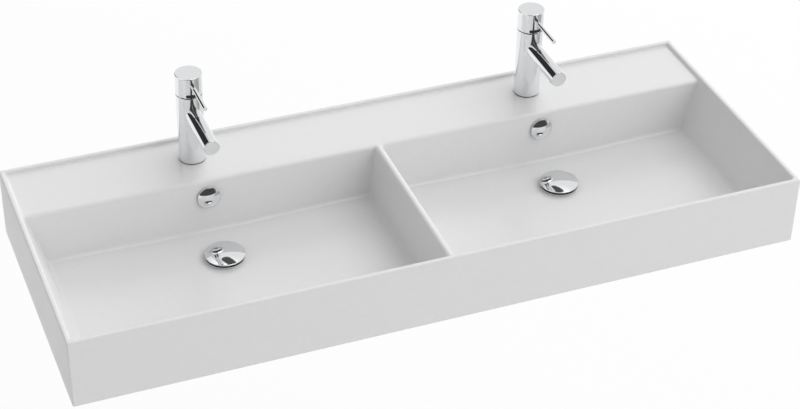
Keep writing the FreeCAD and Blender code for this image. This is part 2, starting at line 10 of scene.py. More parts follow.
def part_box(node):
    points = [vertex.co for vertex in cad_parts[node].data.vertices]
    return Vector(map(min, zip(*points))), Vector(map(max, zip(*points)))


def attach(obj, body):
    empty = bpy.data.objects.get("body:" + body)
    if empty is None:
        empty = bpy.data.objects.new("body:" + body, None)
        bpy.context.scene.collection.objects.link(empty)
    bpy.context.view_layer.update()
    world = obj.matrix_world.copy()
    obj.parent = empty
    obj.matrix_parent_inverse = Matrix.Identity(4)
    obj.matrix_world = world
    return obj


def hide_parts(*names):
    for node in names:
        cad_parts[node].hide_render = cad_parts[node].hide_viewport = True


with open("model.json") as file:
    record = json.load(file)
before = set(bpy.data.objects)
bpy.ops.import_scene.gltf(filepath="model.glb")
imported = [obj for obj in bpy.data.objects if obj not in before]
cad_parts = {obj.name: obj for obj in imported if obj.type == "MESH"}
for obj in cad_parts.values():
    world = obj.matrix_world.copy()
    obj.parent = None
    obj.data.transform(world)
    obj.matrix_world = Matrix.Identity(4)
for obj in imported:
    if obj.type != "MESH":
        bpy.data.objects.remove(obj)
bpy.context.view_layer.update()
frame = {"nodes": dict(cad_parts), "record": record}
nodes = frame["nodes"]
scene = bpy.context.scene
scene.view_settings.view_transform = "Standard"
print("frame loaded with", len(nodes), "nodes")


# camera, fitted to the basin's corners in the photo
photoView = {
    "place": (-0.9861, -2.7023, 1.9251),
    "yaw": 21.743,      # degrees to the right of +Y
    "pitch": 35.841,    # degrees below the horizon
    "roll": 1.115,
    "lens": 91.357,
    "nearest": 0.05,
    "farthest": 60.0,
}


def makeCamera(view):
    yaw, pitch, roll = (math.radians(view[name]) for name in ("yaw", "pitch", "roll"))
    ahead = Vector((math.sin(yaw) * math.cos(pitch), math.cos(yaw) * math.cos(pitch), -math.sin(pitch)))
    level = ahead.cross(Vector((0, 0, 1))).normalized()
    upward = level.cross(ahead)
    right = level * math.cos(roll) + upward * math.sin(roll)
    top = upward * math.cos(roll) - level * math.sin(roll)
    camera = bpy.data.objects.new("photoCamera", bpy.data.cameras.new("photoCamera"))
    scene.collection.objects.link(camera)
    turn = Matrix((right, top, -ahead)).transposed().to_4x4()
    camera.matrix_world = Matrix.Translation(view["place"]) @ turn
    camera.data.lens = view["lens"]
    camera.data.clip_start = view["nearest"]
    camera.data.clip_end = view["farthest"]
    scene.camera = camera


makeCamera(photoView)
print("camera placed")


# shader helpers
def newMaterial(name):
    material = bpy.data.materials.new(name)
    material.use_nodes = True
    tree = material.node_tree
    return material, tree, tree.nodes["Principled BSDF"]


def addNode(tree, kind, **settings):
    node = tree.nodes.new(kind)
    for name, value in settings.items():
        setattr(node, name, value)
    return node


def setInputs(node, **values):
    for name, value in values.items():
        node.inputs[name.replace("_", " ")].default_value = value
    return node


# soft marks: a slow ripple, fine grain and a roughness spread, for every finish
markSettings = {
    "rippleDetail": 3.0,
    "grainDetail": 2.0,
    "noiseRange": (0.3, 0.7),  # where most of the noise lies
}


def makeMarksGroup():
    group = bpy.data.node_groups.new("softMarks", "ShaderNodeTree")
    face = group.interface
    for name in ("Ripple Scale", "Grain Scale", "Grain Share", "Rough Low", "Rough High", "Tint Low"):
        face.new_socket(name, in_out="INPUT", socket_type="NodeSocketFloat")
    for name in ("Height", "Rough", "Tint"):
        face.new_socket(name, in_out="OUTPUT", socket_type="NodeSocketFloat")
    start = group.nodes.new("NodeGroupInput")
    end = group.nodes.new("NodeGroupOutput")
    place = group.nodes.new("ShaderNodeTexCoord")
    ripple = group.nodes.new("ShaderNodeTexNoise")
    grain = group.nodes.new("ShaderNodeTexNoise")
    ripple.inputs["Detail"].default_value = markSettings["rippleDetail"]
    grain.inputs["Detail"].default_value = markSettings["grainDetail"]
    height = addNode(group, "ShaderNodeMix", data_type="FLOAT")
    rough = group.nodes.new("ShaderNodeMapRange")
    tint = group.nodes.new("ShaderNodeMapRange")
    link = group.links.new
    for noise, scale in ((ripple, "Ripple Scale"), (grain, "Grain Scale")):
        link(place.outputs["Object"], noise.inputs["Vector"])
        link(start.outputs[scale], noise.inputs["Scale"])
    link(start.outputs["Grain Share"], height.inputs["Factor"])
    link(ripple.outputs["Fac"], height.inputs["A"])
    link(grain.outputs["Fac"], height.inputs["B"])
    link(ripple.outputs["Fac"], rough.inputs["Value"])
    link(start.outputs["Rough Low"], rough.inputs["To Min"])
    link(start.outputs["Rough High"], rough.inputs["To Max"])
    link(grain.outputs["Fac"], tint.inputs["Value"])
    link(start.outputs["Tint Low"], tint.inputs["To Min"])
    tint.inputs["To Max"].default_value = 1.0
    for node in (rough, tint):
        setInputs(node, From_Min=markSettings["noiseRange"][0], From_Max=markSettings["noiseRange"][1])
    link(height.outputs["Result"], end.inputs["Height"])
    link(rough.outputs["Result"], end.inputs["Rough"])
    link(tint.outputs["Result"], end.inputs["Tint"])
    return group


softMarks = makeMarksGroup()


def finishMaterial(name, colour, ripple, grain, rough, tintLow, bump, metallic=0.0, grainShare=0.2,
                   bumpDepth=0.0005, **shader):
    material, tree, skin = newMaterial(name)
    link = tree.links.new
    marks = addNode(tree, "ShaderNodeGroup", node_tree=softMarks)
    setInputs(marks, Ripple_Scale=ripple, Grain_Scale=grain, Grain_Share=grainShare,
              Rough_Low=rough[0], Rough_High=rough[1], Tint_Low=tintLow)
    shade = addNode(tree, "ShaderNodeMix", data_type="RGBA", blend_type="MULTIPLY")
    shade.inputs["Factor"].default_value = 1.0
    shade.inputs["A"].default_value = (*colour, 1.0)
    link(marks.outputs["Tint"], shade.inputs["B"])
    bumps = setInputs(tree.nodes.new("ShaderNodeBump"), Strength=bump, Distance=bumpDepth)
    link(marks.outputs["Height"], bumps.inputs["Height"])
    link(shade.outputs["Result"], skin.inputs["Base Color"])
    link(marks.outputs["Rough"], skin.inputs["Roughness"])
    link(bumps.outputs["Normal"], skin.inputs["Normal"])
    skin.inputs["Metallic"].default_value = metallic
    setInputs(skin, **shader)
    return material


finishes = {
    "white_glaze": dict(name="basinGlaze", colour=(0.78, 0.78, 0.78), ripple=5.0, grain=90.0, grainShare=0.05,
                        rough=(0.32, 0.4), tintLow=0.985, bump=0.05, bumpDepth=0.002,
                        Specular_IOR_Level=0.17, Coat_Roughness=0.06),
    "chrome": dict(name="polishedChrome", colour=(0.86, 0.87, 0.88), metallic=1.0, ripple=30.0, grain=300.0,
                   rough=(0.03, 0.06), tintLow=0.98, bump=0.01, bumpDepth=0.0003),
    "brass": dict(name="turnedBrass", colour=(0.62, 0.44, 0.17), metallic=1.0, ripple=40.0, grain=900.0,
                  rough=(0.22, 0.36), tintLow=0.85, bump=0.05),
    "steel": dict(name="zincedSteel", colour=(0.55, 0.56, 0.57), metallic=1.0, ripple=40.0, grain=900.0,
                  rough=(0.25, 0.4), tintLow=0.85, bump=0.05),
    "black_rubber": dict(name="sealRubber", colour=(0.02, 0.02, 0.021), ripple=40.0, grain=1500.0,
                         grainShare=0.6, rough=(0.55, 0.75), tintLow=0.8, bump=0.1),
    "white_plastic": dict(name="cartridgePlastic", colour=(0.75, 0.75, 0.73), ripple=40.0, grain=1800.0,
                          grainShare=0.6, rough=(0.35, 0.5), tintLow=0.95, bump=0.05),
    "grey_plastic": dict(name="screenPlastic", colour=(0.12, 0.125, 0.13), ripple=40.0, grain=1800.0,
                         grainShare=0.6, rough=(0.4, 0.55), tintLow=0.9, bump=0.05),
    "disc_ceramic": dict(name="discCeramic", colour=(0.82, 0.79, 0.74), ripple=60.0, grain=1200.0,
                         rough=(0.2, 0.35), tintLow=0.95, bump=0.02),
}
skins = {slot: finishMaterial(**values) for slot, values in finishes.items()}
for part in frame["record"]["subparts"]:
    mesh = nodes[part["node"]].data
    mesh.materials.clear()
    mesh.materials.append(skins[part["material_slot"]])

seamShadeNut = finishMaterial("seamShadeNut", colour=(0.42, 0.41, 0.4), metallic=1.0, ripple=40.0, grain=900.0,
                           rough=(0.25, 0.4), tintLow=0.85, bump=0.05)
for side in ("left", "right"):  # nickel plated, but darkened to grey as painted shade for the seam under the lever head, where it shows
    nodes[side + "_cartridge_nut"].data.materials[0] = seamShadeNut


# bare clay where the basin stood in the kiln: along its lower edge, and on the face that meets the wall
bareClay = {
    "colour": (0.62, 0.57, 0.5),
    "rough": 0.85,
    "edgeLevel": -0.0582,
    "wallDepth": -0.0006,
    "blur": 0.0006,
}


def addBareClay(material):
    tree = material.node_tree
    link = tree.links.new
    skin = tree.nodes["Principled BSDF"]
    split = tree.nodes.new("ShaderNodeSeparateXYZ")
    link(tree.nodes.new("ShaderNodeTexCoord").outputs["Object"], split.inputs["Vector"])
    masks = []
    for axis, start, step in (("Z", bareClay["edgeLevel"], -1), ("Y", bareClay["wallDepth"], 1)):
        mask = setInputs(tree.nodes.new("ShaderNodeMapRange"), From_Min=start,
                         From_Max=start + step * bareClay["blur"])
        link(split.outputs[axis], mask.inputs["Value"])
        masks.append(mask.outputs["Result"])
    bare = addNode(tree, "ShaderNodeMath", operation="MAXIMUM")
    for socket, mask in zip(bare.inputs, masks):
        link(mask, socket)
    for name, kind, value in (("Base Color", "RGBA", (*bareClay["colour"], 1.0)),
                              ("Roughness", "FLOAT", bareClay["rough"])):
        mix = addNode(tree, "ShaderNodeMix", data_type=kind)
        glazed = skin.inputs[name].links[0].from_socket
        mix.inputs["B"].default_value = value
        link(bare.outputs["Value"], mix.inputs["Factor"])
        link(glazed, mix.inputs["A"])
        link(mix.outputs["Result"], skin.inputs[name])


# clear glaze that pooled inside the tub; the skirt outside got a thin coat
pooledGlaze = {"weight": 0.4, "halfWidth": 0.598, "front": -0.458}


def addPooledGlaze(material):
    tree = material.node_tree
    link = tree.links.new
    split = tree.nodes.new("ShaderNodeSeparateXYZ")
    link(tree.nodes.new("ShaderNodeTexCoord").outputs["Object"], split.inputs["Vector"])
    aside = addNode(tree, "ShaderNodeMath", operation="ABSOLUTE")
    across = addNode(tree, "ShaderNodeMath", operation="LESS_THAN")
    along = addNode(tree, "ShaderNodeMath", operation="GREATER_THAN")
    inside = addNode(tree, "ShaderNodeMath", operation="MULTIPLY")
    weight = addNode(tree, "ShaderNodeMath", operation="MULTIPLY")
    across.inputs[1].default_value = pooledGlaze["halfWidth"]
    along.inputs[1].default_value = pooledGlaze["front"]
    weight.inputs[1].default_value = pooledGlaze["weight"]
    link(split.outputs["X"], aside.inputs[0])
    link(aside.outputs["Value"], across.inputs[0])
    link(split.outputs["Y"], along.inputs[0])
    link(across.outputs["Value"], inside.inputs[0])
    link(along.outputs["Value"], inside.inputs[1])
    link(inside.outputs["Value"], weight.inputs[0])
    link(weight.outputs["Value"], tree.nodes["Principled BSDF"].inputs["Coat Weight"])


addBareClay(skins["white_glaze"])
addPooledGlaze(skins["white_glaze"])
print("finishes made:", ", ".join(material.name for material in skins.values()))


# every drawn piece rides on its body, and most stand in for one of the frame's nodes
def finishPiece(name, shape, node, slot, body="base"):
    mesh = bpy.data.meshes.new(name)
    shape.to_mesh(mesh)
    shape.free()
    mesh.materials.append(skins[slot])
    piece = bpy.data.objects.new(name, mesh)
    scene.collection.objects.link(piece)
    if node:
        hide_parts(node)
    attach(piece, body)
    return piece


def centreOf(node):
    low, high = (Vector(corner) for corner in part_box(node))
    return (low + high) / 2


# glazed basin: the frame's outside and underside, with the inside drawn again as one soft ceramic form
glazedBasin = {
    "halfWidth": 0.592,       # the open tub at the rim
    "front": -0.452,
    "back": -0.008,
    "rimTop": 0.060,
    "deckTop": 0.054,
    "deckFront": -0.130,
    "floor": -0.036,
    "seat": -0.040,
    "seatHalf": 0.038,
    "dividerHalf": 0.006,
    "sideLean": 0.032,        # how far each wall leans in on its way to the floor
    "frontLean": 0.030,
    "deckLean": 0.006,
    "dividerLean": 0.012,
    "rimRound": 0.0028,
    "deckRound": 0.0055,
    "frontCorner": 0.005,
    "dividerCorner": 0.003,   # where the divider meets the deck
    "innerCorner": 0.0018,
    "cove": 0.006,
    "fallReach": (0.21, 0.15),  # how far from the seat the floor begins to fall
    "waste": centreOf("right_waste_body").to_tuple(),
    "tap": centreOf("right_tap_body").to_tuple(),
    "overflowLevel": 0.023,
    "clearings": {"tap": 0.020, "waste": 0.027, "overflow": 0.0145},
    "skinDepth": 0.0027,      # frame faces this near the open tub are drawn again
    "sharpShare": 0.02,       # share of the rounding that is kept while those faces are chosen
    "levelCosine": 0.9999,
    "sharpAngle": 35.0,
    "sewReach": 1.6,          # how far past each clearing its two edges lie, as a share
    "weld": 1e-6,
    "nudge": 0.00005,
    "settleTurns": 3,
    "leastSteepness": 0.1,
    # stretches of the drawing grid: from, to and step
    "xGrid": ((0, 0.036, 0.001725), (0.036, 0.548, 0.009), (0.548, 0.586, 0.0016), (0.586, 0.5975, 0.00115)),
    "yGrid": ((-0.4575, -0.446, 0.00115), (-0.446, -0.412, 0.0016), (-0.412, -0.152, 0.009),
              (-0.152, -0.122, 0.00115), (-0.122, -0.016, 0.009), (-0.016, -0.0025, 0.00115)),
    "zGrid": ((-0.046, -0.020, 0.001725), (-0.020, 0.044, 0.00384), (0.044, 0.062, 0.00115)),
}


def gridLines(stretches):
    runs = [np.linspace(low, high, round((high - low) / step) + 1) for low, high, step in stretches]
    return np.unique(np.concatenate(runs).round(7))  # a line that two stretches share is kept once


def roundMax(a, b, radius):
    corner = np.hypot(np.maximum(a + radius, 0), np.maximum(b + radius, 0))
    return np.minimum(-radius, np.maximum(a, b)) + corner


def ease(value, low, high):
    share = np.clip((value - low) / (high - low), 0, 1)
    return share * share * (3 - 2 * share)


# distance outside the open tub, negative in the open; soft is the share of the rounding that is kept
def openTub(x, y, z, soft=1.0):
    b = glazedBasin
    depth = b["rimTop"] - b["floor"]
    drop = (b["rimTop"] - z) / depth
    deckDrop = (b["deckTop"] - z) / (b["deckTop"] - b["floor"])
    side = (abs(x) - b["halfWidth"] + b["sideLean"] * drop) * depth / math.hypot(depth, b["sideLean"])
    front = (b["front"] + b["frontLean"] * drop - y) * depth / math.hypot(depth, b["frontLean"])
    tub = roundMax(np.maximum(side, y - b["back"]), front, b["frontCorner"] * soft)
    aboveDeck = z - b["deckTop"]
    deckFace = b["deckFront"] - b["deckLean"] * deckDrop - y
    dividerFace = abs(x) - b["dividerHalf"] - b["dividerLean"] * deckDrop
    blockFace = -roundMax(-deckFace, -dividerFace, b["dividerCorner"] * soft)
    block = roundMax(blockFace, aboveDeck, b["deckRound"] * soft)
    walls = roundMax(tub, -block, b["innerCorner"] * soft)
    across = np.maximum(abs(abs(x) - b["waste"][0]) - b["seatHalf"], 0) / b["fallReach"][0]
    along = np.maximum(abs(y - b["waste"][1]) - b["seatHalf"], 0) / b["fallReach"][1]
    floor = b["seat"] + (b["floor"] - b["seat"]) * ease(np.hypot(across, along), 0, 1)
    return roundMax(walls, floor - z, b["cove"] * soft)


def ceramicSkin(x, y, z):
    return roundMax(z - glazedBasin["rimTop"], -openTub(x, y, z), glazedBasin["rimRound"])


# one point in each cell that the surface passes, joined round each cell edge that it crosses
def drawSurface(field, *lines):
    value = field(*np.meshgrid(*lines, indexing="ij"))
    inside = value < 0
    cells = [size - 1 for size in value.shape]
    corners = [(i, j, k) for i in (0, 1) for j in (0, 1) for k in (0, 1)]
    filled = sum(inside[tuple(slice(c, c + n) for c, n in zip(corner, cells))].astype(int)
                 for corner in corners)
    passed = np.argwhere((filled > 0) & (filled < len(corners)))
    number = np.full(cells, -1)
    number[tuple(passed.T)] = np.arange(len(passed))
    places = np.zeros((len(passed), 3))
    hits = np.zeros((len(passed), 1))
    for corner in corners:
        for axis in (axis for axis in range(3) if not corner[axis]):
            near = passed + corner
            far = near + np.eye(3, dtype=int)[axis]
            nearValue, farValue = value[tuple(near.T)], value[tuple(far.T)]
            crossed = ((nearValue < 0) != (farValue < 0))[:, None]
            share = (nearValue / np.where(crossed[:, 0], nearValue - farValue, 1))[:, None]
            nearPlace = np.stack([line[near[:, n]] for n, line in enumerate(lines)], axis=1)
            farPlace = np.stack([line[far[:, n]] for n, line in enumerate(lines)], axis=1)
            places += np.where(crossed, nearPlace + (farPlace - nearPlace) * share, 0)
            hits += crossed
    places /= hits
    nudge = glazedBasin["nudge"]
    for turn in range(glazedBasin["settleTurns"]):
        slope = np.stack([(field(*(places + step).T) - field(*(places - step).T)) / (2 * nudge)
                          for step in np.eye(3) * nudge], axis=1)
        steepness = np.maximum((slope ** 2).sum(axis=1), glazedBasin["leastSteepness"])
        places -= slope * (field(*places.T) / steepness)[:, None]
    quads = []
    for axis in range(3):
        u, v = (axis + 1) % 3, (axis + 2) % 3
        change = np.diff(inside.astype(int), axis=axis)
        edges = np.argwhere(change)
        between = (edges[:, u] > 0) & (edges[:, v] > 0) & (edges[:, u] < cells[u]) & (edges[:, v] < cells[v])
        edges = edges[between]
        ring = []
        for uStep, vStep in ((-1, -1), (0, -1), (0, 0), (-1, 0)):
            cell = edges.copy()
            cell[:, u] += uStep
            cell[:, v] += vStep
            ring.append(number[tuple(cell.T)])
        ring = np.stack(ring, axis=1)
        inward = change[tuple(edges.T)] > 0
        ring[inward] = ring[inward][:, ::-1]
        quads.append(ring)
    return places, np.concatenate(quads)


def nearHoles(points, margin):
    b = glazedBasin
    x, y, z = abs(points[:, 0]), points[:, 1], points[:, 2]
    onDeck = z > b["deckTop"] - b["nudge"]
    onFloor = z < b["floor"]
    onDeckFace = abs(y - b["deckFront"] + b["deckLean"] / 2) < b["deckLean"] / 2
    fromTap = np.hypot(x - b["tap"][0], y - b["tap"][1])
    fromWaste = np.hypot(x - b["waste"][0], y - b["waste"][1])
    fromOverflow = np.hypot(x - b["waste"][0], z - b["overflowLevel"])
    gaps = b["clearings"]
    return {
        "tap": onDeck & (fromTap < gaps["tap"] * margin),
        "waste": onFloor & (fromWaste < gaps["waste"] * margin),
        "overflow": onDeckFace & (fromOverflow < gaps["overflow"] * margin),
    }


def makeGlazedBasin(name, node):
    b = glazedBasin
    rightLines, yLines, zLines = (gridLines(b[grid]) for grid in ("xGrid", "yGrid", "zGrid"))
    xLines = np.unique(np.concatenate([-rightLines, rightLines]))
    places, quads = drawSurface(ceramicSkin, xLines, yLines, zLines)
    cleared = nearHoles(places[quads].mean(axis=1), 1)
    quads = quads[~(cleared["tap"] | cleared["waste"] | cleared["overflow"])]

    shell = bmesh.new()
    shell.from_mesh(node.data)
    bmesh.ops.remove_doubles(shell, verts=shell.verts, dist=b["weld"])
    faces = list(shell.faces)
    centres = np.array([face.calc_center_median() for face in faces])
    upward = np.array([face.normal.z for face in faces]) > b["levelCosine"]
    onRim = upward & (centres[:, 2] > b["rimTop"] - b["nudge"])
    drawn = onRim | (openTub(*centres.T, soft=b["sharpShare"]) < b["skinDepth"])
    bmesh.ops.delete(shell, geom=[face for face, gone in zip(faces, drawn) if gone], context="FACES")
    for edge in shell.edges:
        if len(edge.link_faces) == 2:
            edge.smooth = edge.calc_face_angle() < math.radians(b["sharpAngle"])
    corners = [shell.verts.new(place) for place in places]
    for quad in quads:
        shell.faces.new([corners[n] for n in quad])
    bmesh.ops.delete(shell, geom=[corner for corner in corners if not corner.link_faces], context="VERTS")

    # the skin is sewn to the frame's edges round each hole and along the rim
    border = [edge for edge in shell.edges if len(edge.link_faces) == 1]
    middles = np.array([(edge.verts[0].co + edge.verts[1].co) / 2 for edge in border])
    rounds = nearHoles(middles, b["sewReach"])
    rounds["rim"] = middles[:, 2] > b["rimTop"] - b["nudge"]
    for hole, chosen in rounds.items():
        for half in (middles[:, 0] < 0, middles[:, 0] >= 0) if hole != "rim" else (True,):
            loop = [edge for edge, taken in zip(border, chosen & half) if taken]
            bmesh.ops.triangle_fill(shell, use_beauty=True, edges=loop)
    bmesh.ops.recalc_face_normals(shell, faces=shell.faces)
    for face in shell.faces:
        face.smooth = True
    return finishPiece(name, shell, "basin", "white_glaze")


makeGlazedBasin("glazedBasin", nodes["basin"])
print("basin glazed")


# Geometry Nodes helpers: a tree's inputs are set by identifier, and the result is kept as a plain mesh
def newTree(name, **inputs):
    tree = bpy.data.node_groups.new(name, "GeometryNodeTree")
    for label, kind in inputs.items():
        tree.interface.new_socket(label.replace("_", " "), in_out="INPUT", socket_type="NodeSocket" + kind)
    tree.interface.new_socket("Shape", in_out="OUTPUT", socket_type="NodeSocketGeometry")
    return tree, tree.nodes.new("NodeGroupInput").outputs, tree.nodes.new("NodeGroupOutput").inputs["Shape"]


def plug(tree, socket, value):
    if isinstance(value, bpy.types.NodeSocket):
        tree.links.new(value, socket)
    else:
        socket.default_value = value


def sum2(tree, operation, *values):
    node = addNode(tree, "ShaderNodeMath", operation=operation)
    for socket, value in zip(node.inputs, values):
        plug(tree, socket, value)
    return node.outputs["Value"]


def geometry(tree, kind, result, settings=None, **inputs):
    node = addNode(tree, kind, **(settings or {}))
    for label, value in inputs.items():
        plug(tree, node.inputs[label.replace("_", " ")], value)
    return node.outputs[result]


def endTree(tree, shape, finish, out):
    shape = geometry(tree, "GeometryNodeRealizeInstances", "Geometry", Geometry=shape)
    shape = geometry(tree, "GeometryNodeSetMaterial", "Geometry", Geometry=shape, Material=finish)
    tree.links.new(shape, out)


def growMesh(name, tree, **values):
    holder = bpy.data.objects.new(name, bpy.data.meshes.new(name))
    scene.collection.objects.link(holder)
    modifier = holder.modifiers.new(name, "NODES")
    modifier.node_group = tree
    for item in tree.interface.items_tree:
        if item.in_out == "INPUT":
            modifier[item.identifier] = values[item.name.replace(" ", "_")]
    mesh = bpy.data.meshes.new_from_object(holder.evaluated_get(bpy.context.evaluated_depsgraph_get()))
    holder.modifiers.remove(modifier)
    bpy.data.objects.remove(holder)
    return mesh


# screw thread: a unit sheet rolled into a sleeve, with a ridge that climbs one pitch a turn and fades at both ends
screwThread = {"seam": 1e-6}


def makeThreadTree():
    tree, given, out = newTree("screwThread", Crest="Float", Root="Float", Pitch="Float", Low="Float",
                               High="Float", Centre="Vector", Around="Int", Along="Int", Finish="Material")
    sheet = geometry(tree, "GeometryNodeMeshGrid", "Mesh", Size_X=1.0, Size_Y=1.0,
                     Vertices_X=given["Around"], Vertices_Y=given["Along"])
    place = tree.nodes.new("GeometryNodeInputPosition").outputs["Position"]
    split = addNode(tree, "ShaderNodeSeparateXYZ")
    plug(tree, split.inputs["Vector"], place)
    turn = sum2(tree, "ADD", split.outputs["X"], 0.5)
    rise = sum2(tree, "ADD", split.outputs["Y"], 0.5)
    length = sum2(tree, "SUBTRACT", given["High"], given["Low"])
    level = sum2(tree, "MULTIPLY_ADD", rise, length, given["Low"])
    phase = sum2(tree, "SUBTRACT", sum2(tree, "DIVIDE", level, given["Pitch"]), turn)
    ridge = sum2(tree, "MULTIPLY", sum2(tree, "PINGPONG", phase, 0.5), 2.0)
    toEnd = sum2(tree, "MINIMUM", sum2(tree, "SUBTRACT", level, given["Low"]),
                 sum2(tree, "SUBTRACT", given["High"], level))
    fade = sum2(tree, "MINIMUM", sum2(tree, "DIVIDE", toEnd, given["Pitch"]), 1.0)
    depth = sum2(tree, "SUBTRACT", given["Crest"], given["Root"])
    radius = sum2(tree, "MULTIPLY_ADD", sum2(tree, "MULTIPLY", ridge, fade), depth, given["Root"])
    angle = sum2(tree, "MULTIPLY", turn, math.tau)
    rolled = addNode(tree, "ShaderNodeCombineXYZ")
    plug(tree, rolled.inputs["X"], sum2(tree, "MULTIPLY", radius, sum2(tree, "COSINE", angle)))
    plug(tree, rolled.inputs["Y"], sum2(tree, "MULTIPLY", radius, sum2(tree, "SINE", angle)))
    plug(tree, rolled.inputs["Z"], level)
    moved = addNode(tree, "ShaderNodeVectorMath", operation="ADD")
    plug(tree, moved.inputs[0], rolled.outputs["Vector"])
    plug(tree, moved.inputs[1], given["Centre"])
    shape = geometry(tree, "GeometryNodeSetPosition", "Geometry", Geometry=sheet,
                     Position=moved.outputs["Vector"])
    shape = geometry(tree, "GeometryNodeMergeByDistance", "Geometry", Geometry=shape,
                     Distance=screwThread["seam"])
    endTree(tree, shape, given["Finish"], out)
    return tree


threadTree = makeThreadTree()


def openEdges(shape, level, near):
    return [edge for edge in shape.edges if len(edge.link_faces) == 1
            and all(abs(vert.co.z - level) < near for vert in edge.verts)]


def settle(shape, sharpAngle):
    bmesh.ops.recalc_face_normals(shape, faces=shape.faces)
    for face in shape.faces:
        face.smooth = True
    for edge in shape.edges:
        if len(edge.link_faces) == 2:
            edge.smooth = edge.calc_face_angle() < math.radians(sharpAngle)


# threaded wastes: the frame's waste with a cut thread on its tail
threadedWaste = {"pitch": 0.0023, "depth": 0.0012, "around": 97, "stepsPerTurn": 8,
                 "near": 1e-5, "weld": 1e-6, "sharpAngle": 35.0}


def makeThreadedWaste(side):
    node = side + "_waste_body"
    t = threadedWaste
    near = t["near"]
    shape = bmesh.new()
    shape.from_mesh(nodes[node].data)
    bmesh.ops.remove_doubles(shape, verts=shape.verts, dist=t["weld"])
    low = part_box(node)[0][2]
    axis = centreOf(node)
    axis.z = 0

    def away(vert):
        return math.hypot(vert.co.x - axis.x, vert.co.y - axis.y)

    crest = max(away(vert) for vert in shape.verts if abs(vert.co.z - low) < near)
    outer = {face for face in shape.faces if all(abs(away(vert) - crest) < near for vert in face.verts)}
    walls = {face for face in outer if any(abs(vert.co.z - low) < near for vert in face.verts)}
    fresh = walls
    while fresh:  # up the tail, to the groove
        fresh = {other for face in fresh for edge in face.edges for other in edge.link_faces} & outer - walls
        walls = walls | fresh
    high = max(vert.co.z for face in walls for vert in face.verts)
    ends = {face for face in shape.faces
            if all(abs(vert.co.z - low) < near for vert in face.verts)
            or all(abs(vert.co.z - high) < near and away(vert) < crest + near for vert in face.verts)}
    bmesh.ops.delete(shape, geom=list(walls | ends), context="FACES")
    turns = (high - low) / t["pitch"]
    sleeve = growMesh(node + "Thread", threadTree, Crest=crest, Root=crest - t["depth"], Pitch=t["pitch"],
                      Low=low, High=high, Centre=axis, Around=t["around"],
                      Along=round(turns * t["stepsPerTurn"]), Finish=skins["chrome"])
    shape.from_mesh(sleeve)
    bpy.data.meshes.remove(sleeve)
    for level in (low, high):
        bmesh.ops.triangle_fill(shape, use_beauty=True, edges=openEdges(shape, level, near))
    settle(shape, t["sharpAngle"])
    return finishPiece(side + "ThreadedWaste", shape, node, "chrome")


# threaded rods under the taps, each cut to length with a short lead at both ends
threadedRod = {"pitch": 0.00125, "depth": 0.00065, "around": 33, "stepsPerTurn": 5,
               "near": 1e-6, "sharpAngle": 50.0}


def makeThreadedRods(name, node):
    t = threadedRod
    shape = bmesh.new()
    low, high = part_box(node)
    crest = (high[1] - low[1]) / 2
    turns = (high[2] - low[2]) / t["pitch"]
    for x in (low[0] + crest, high[0] - crest):
        rod = growMesh(name, threadTree, Crest=crest, Root=crest - t["depth"], Pitch=t["pitch"], Low=low[2],
                       High=high[2], Centre=(x, low[1] + crest, 0), Around=t["around"],
                       Along=round(turns * t["stepsPerTurn"]), Finish=skins["steel"])
        shape.from_mesh(rod)
        bpy.data.meshes.remove(rod)
    for level in (low[2], high[2]):
        bmesh.ops.holes_fill(shape, edges=openEdges(shape, level, t["near"]), sides=0)
    settle(shape, t["sharpAngle"])
    return finishPiece(name, shape, node, "steel")


# hexagon nuts with both faces chamfered back to a round
hexNut = {"around": 96, "roundShare": 0.96, "chamfer": 30.0, "boreLead": 0.0004, "sharpAngle": 25.0}


def addNut(shape, x, y, low, high, bore, flats, turned):
    h = hexNut
    slope = math.tan(math.radians(h["chamfer"]))
    seatRadius = flats / 2 * h["roundShare"]
    lead = h["boreLead"]
    rings = []
    for n in range(h["around"]):
        angle = math.tau * n / h["around"]
        edge = (angle - turned + math.pi / 6) % (math.pi / 3) - math.pi / 6
        corner = flats / 2 / math.cos(edge)
        drop = (corner - seatRadius) * slope
        outline = [(bore, low + lead), (bore, high - lead), (bore + lead, high), (seatRadius, high),
                   (corner, high - drop), (corner, low + drop), (seatRadius, low), (bore + lead, low)]
        rings.append([shape.verts.new((x + r * math.cos(angle), y + r * math.sin(angle), z))
                      for r, z in outline])
    for ring, after in zip(rings, rings[1:] + rings[:1]):
        for a, b, c, d in zip(ring, ring[1:] + ring[:1], after[1:] + after[:1], after):
            shape.faces.new((a, b, c, d))


def nutSizes(node, side):
    half = [vert.co for vert in nodes[node].data.vertices if side == 0 or vert.co.x * side > 0]
    xs, ys, zs = zip(*half)
    x, y = (min(xs) + max(xs)) / 2, (min(ys) + max(ys)) / 2
    wide, deep = max(xs) - min(xs), max(ys) - min(ys)
    bore = min(math.hypot(point.x - x, point.y - y) for point in half)
    turned = 0.0 if wide < deep else math.pi / 2
    return x, y, min(zs), max(zs), bore, min(wide, deep), turned


def makeNuts(name, node, slot, sides):
    shape = bmesh.new()
    for side in sides:
        addNut(shape, *nutSizes(node, side))
    settle(shape, hexNut["sharpAngle"])
    return finishPiece(name, shape, node, slot)


# honeycomb screens in the spouts: rows of six-sided cells inside a round rim
honeycomb = {"pitch": 0.0017, "wall": 0.0003, "rim": 0.0006, "cellGap": 0.00001,
             "cellReach": 0.6, "rimSides": 64, "spareRows": 3}


